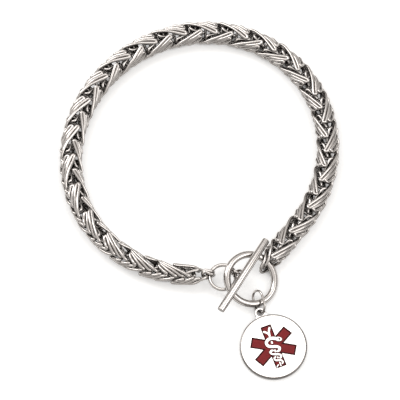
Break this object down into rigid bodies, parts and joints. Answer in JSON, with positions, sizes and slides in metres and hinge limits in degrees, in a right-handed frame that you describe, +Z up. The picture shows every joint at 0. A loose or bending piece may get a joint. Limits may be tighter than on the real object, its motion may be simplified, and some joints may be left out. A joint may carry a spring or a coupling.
{
  "type": "medical alert bracelet",
  "caption": "Steel wheat-chain bracelet in a round loop, closed by a toggle clasp, with a round medallion hanging from it that bears a red enamel six-armed medical star.",
  "frame": {"origin": "Middle of the ground that the bracelet covers, on the table plane", "axes": "+Z up from the table; +Y from the medallion to the back of the chain loop; +X to the right seen from above with the medallion nearest"},
  "size_m": [0.0694, 0.0938, 0.0074],
  "materials": {
    "steel": "polished",
    "enamel": "gloss"
  },
  "bodies": {
    "root": {"chain_left": "steel", "chain_right": "steel", "toggle_ring": "steel", "toggle_bar": "steel", "jump_ring": "steel", "connector_ring": "steel", "bail": "steel", "medallion": "steel", "enamel_star": "enamel"}
  },
  "joints": []
}
